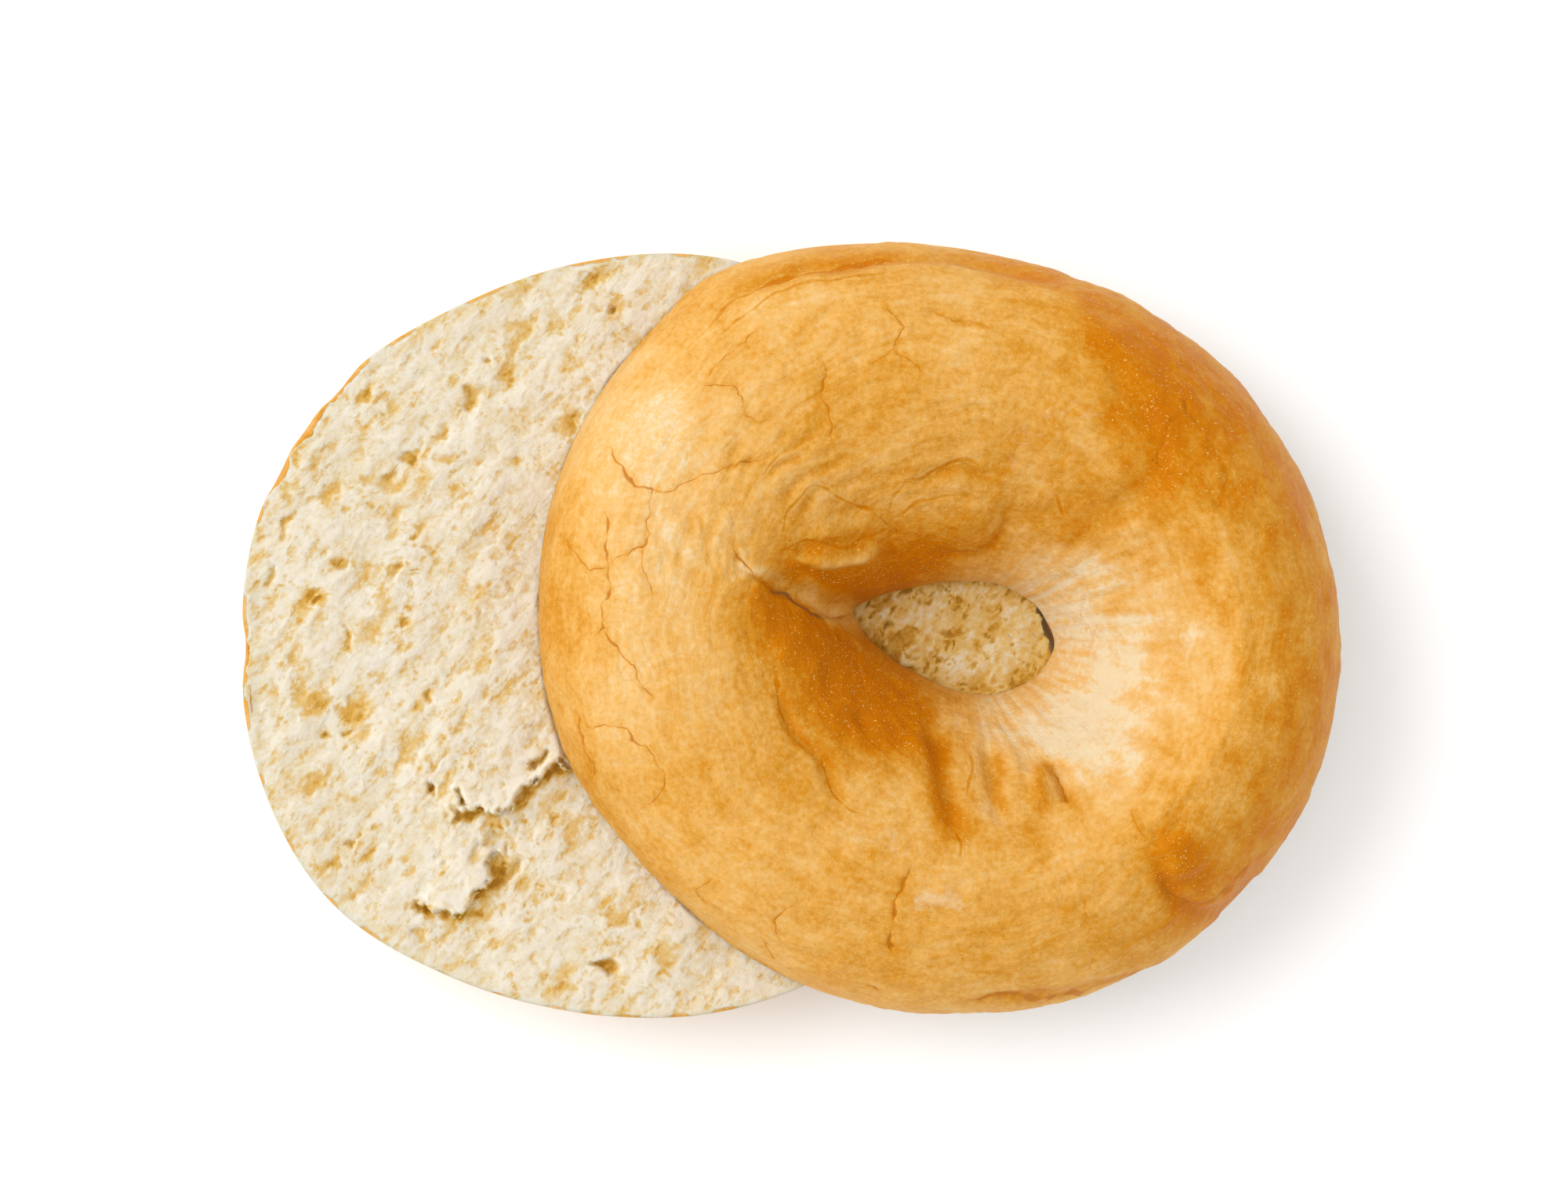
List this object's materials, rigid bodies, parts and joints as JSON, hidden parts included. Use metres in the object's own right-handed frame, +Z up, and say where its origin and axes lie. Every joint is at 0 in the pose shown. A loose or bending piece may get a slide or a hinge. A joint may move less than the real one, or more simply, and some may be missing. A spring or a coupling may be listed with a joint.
{
  "type": "bagel",
  "caption": "Plain bagel sliced through: the crusty top half lies on the cut face of the bottom half, slid aside so that pale crumb shows, with the hole open through the top.",
  "frame": {"origin": "on the ground, under the middle of the box round both halves", "axes": "+Z up out of the cut faces, +X from the bottom half towards the top half, the way the top half is slid, +Y away from the seam's side"},
  "size_m": [0.1506, 0.1062, 0.0387],
  "materials": {
    "crust": "baked golden crust, satin",
    "crumb": "open cream crumb, matt"
  },
  "bodies": {
    "root": {"bottom_half": "crumb", "top_half": "crust"}
  },
  "joints": []
}
